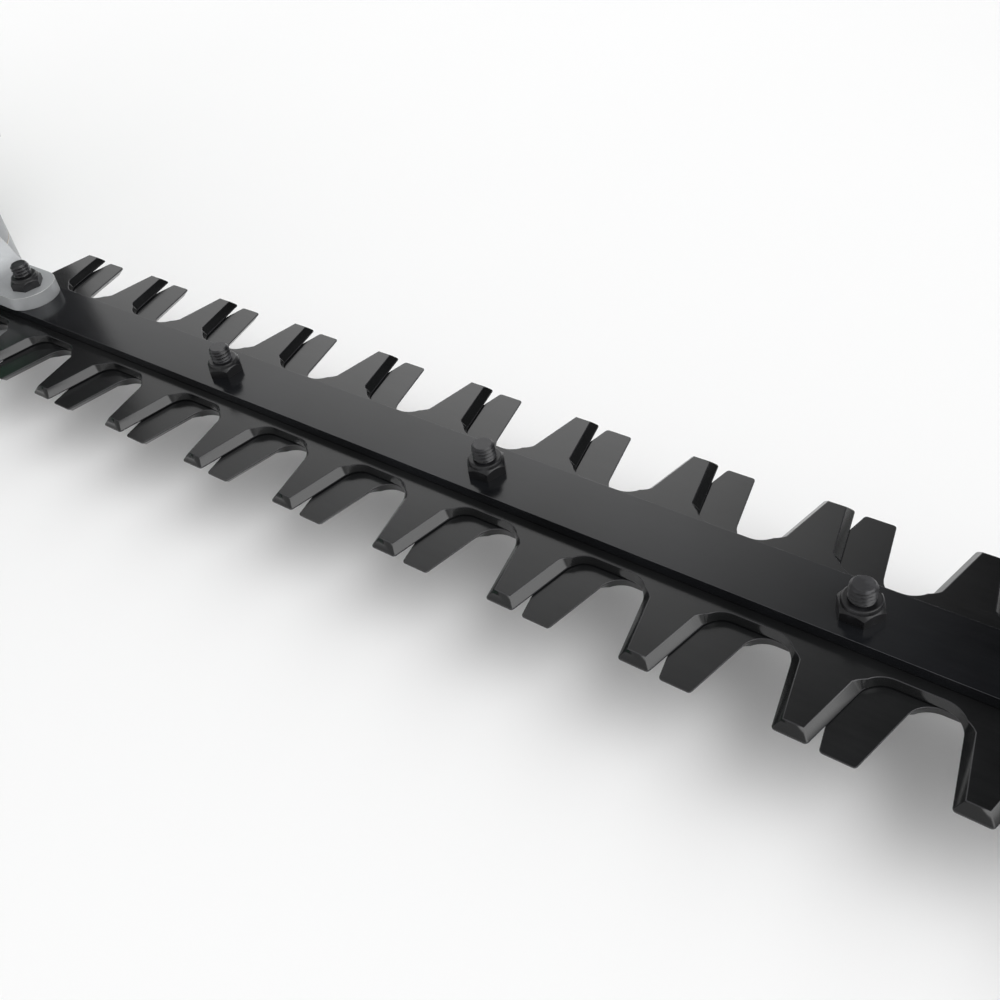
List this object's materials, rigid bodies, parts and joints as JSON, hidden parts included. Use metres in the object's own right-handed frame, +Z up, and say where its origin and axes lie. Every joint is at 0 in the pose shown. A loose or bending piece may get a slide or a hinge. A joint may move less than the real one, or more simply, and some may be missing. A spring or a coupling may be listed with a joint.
{
  "type": "hedge trimmer",
  "caption": "Battery hedge trimmer: double-sided reciprocating toothed blades under a guide bar, cast gear case, motor housing, hoop front handle, loop rear handle and slide-in battery.",
  "frame": {"origin": "where the drive gear's axis meets the flat underside of the gear case cover, on the floor plane", "axes": "+X along the cutter towards its tip, +Y towards the cutter's side with one tooth fewer, +Z up, away from the floor"},
  "size_m": [0.9933, 0.152, 0.2024],
  "materials": {
    "blade_paint": "gloss black baked paint over ground steel",
    "black_steel": "black oxide steel",
    "case_aluminium": "die-cast, fine bead-blasted",
    "bright_steel": "plain steel",
    "hard_steel": "hardened and ground steel",
    "gasket_paper": "oiled fibre",
    "lamination": "stacked steel sheet",
    "copper": "enamelled copper",
    "magnet": "plated magnet",
    "can_steel": "satin black",
    "fan_plastic": "moulded",
    "housing_green": "fine textured",
    "grip_rubber": "soft overmould",
    "control_orange": "satin moulded",
    "black_plastic": "textured black",
    "circuit": "lacquered board",
    "wire_red": "insulated wire",
    "cell_wrap": "wrapped cell",
    "contact_brass": "bright"
  },
  "bodies": {
    "machine": {"guide_bar": "blade_paint", "blade_bolts": "black_steel", "blade_nuts": "black_steel", "blade_washers": "black_steel", "blade_collars": "hard_steel", "bar_dowel": "hard_steel", "gear_case": "case_aluminium", "lower_cover": "case_aluminium", "case_gasket": "gasket_paper", "cover_screws": "bright_steel", "gear_bearing_lower": "bright_steel", "gear_bearing_upper": "bright_steel", "stator_core": "lamination", "stator_windings": "copper", "motor_can": "can_steel", "motor_end_bell": "case_aluminium", "motor_bearing_lower": "bright_steel", "motor_bearing_upper": "bright_steel", "motor_screws": "bright_steel", "housing_left": "housing_green", "housing_right": "housing_green", "housing_screws": "bright_steel", "rear_grip": "grip_rubber", "trigger_pin": "hard_steel", "trigger_spring": "bright_steel", "power_switch": "black_plastic", "front_handle": "black_plastic", "front_grip": "grip_rubber", "front_handle_screws": "bright_steel", "hand_guard": "black_plastic", "guard_screws": "bright_steel", "terminal_block": "black_plastic", "controller_board": "circuit", "wiring_loom": "wire_red"},
    "drive": {"drive_gear": "hard_steel", "gear_shaft": "hard_steel", "upper_cam": "hard_steel", "lower_cam": "hard_steel", "cam_spacer": "hard_steel"},
    "motor_rotor": {"pinion": "hard_steel", "motor_shaft": "hard_steel", "rotor_core": "lamination", "rotor_magnets": "magnet", "cooling_fan": "fan_plastic"},
    "upper_cutter": {"upper_blade": "blade_paint"},
    "lower_cutter": {"lower_blade": "blade_paint"},
    "trigger": {"trigger": "control_orange"},
    "lock_button": {"lock_button": "control_orange"},
    "switch_lever": {"switch_lever": "control_orange"},
    "battery": {"battery_case_lower": "black_plastic", "battery_case_upper": "black_plastic", "battery_cells": "cell_wrap", "battery_board": "circuit", "battery_contacts": "contact_brass"},
    "battery_release": {"battery_release": "control_orange"}
  },
  "joints": [
    {"name": "gear_spin", "type": "hinge", "parent": "machine", "child": "drive", "pos_m": [0, 0, 0.03], "axis": [0, 0, 1], "range_deg": [-90, 90]},
    {"name": "motor_spin", "type": "hinge", "parent": "machine", "child": "motor_rotor", "pos_m": [-0.0375, 0, 0.05], "axis": [0, 0, 1], "range_deg": [-361, 361]},
    {"name": "upper_stroke", "type": "slide", "parent": "machine", "child": "upper_cutter", "axis": [1, 0, 0], "range_m": [-0.0096, 0.0096]},
    {"name": "lower_stroke", "type": "slide", "parent": "machine", "child": "lower_cutter", "axis": [1, 0, 0], "range_m": [-0.0096, 0.0096]},
    {"name": "trigger_pull", "type": "hinge", "parent": "machine", "child": "trigger", "pos_m": [-0.118, 0, 0.147], "axis": [0, 1, 0], "range_deg": [0, 7], "stiffness_Nm_per_rad": 0.6, "springref_deg": -14.32, "deforming": ["trigger_spring"]},
    {"name": "lock_press", "type": "slide", "parent": "machine", "child": "lock_button", "axis": [0, 0, -1], "range_m": [0, 0.0025], "stiffness_N_per_m": 400, "springref_m": -0.004},
    {"name": "lever_squeeze", "type": "slide", "parent": "machine", "child": "switch_lever", "axis": [0.1392, 0, 0.9903], "range_m": [0, 0.006], "stiffness_N_per_m": 500, "springref_m": -0.006},
    {"name": "battery_slide", "type": "slide", "parent": "machine", "child": "battery", "axis": [-1, 0, 0], "range_m": [0, 0.125]},
    {"name": "release_press", "type": "slide", "parent": "battery", "child": "battery_release", "axis": [0, 0, -1], "range_m": [0, 0.0035], "stiffness_N_per_m": 600, "springref_m": -0.004}
  ],
  "couplings": [
    {"joint": "motor_spin", "follows": "gear_spin", "ratio": -4},
    {"joint": "upper_stroke", "follows": "gear_spin", "m_per_rad": 0.0060479},
    {"joint": "lower_stroke", "follows": "gear_spin", "m_per_rad": -0.0060479}
  ]
}
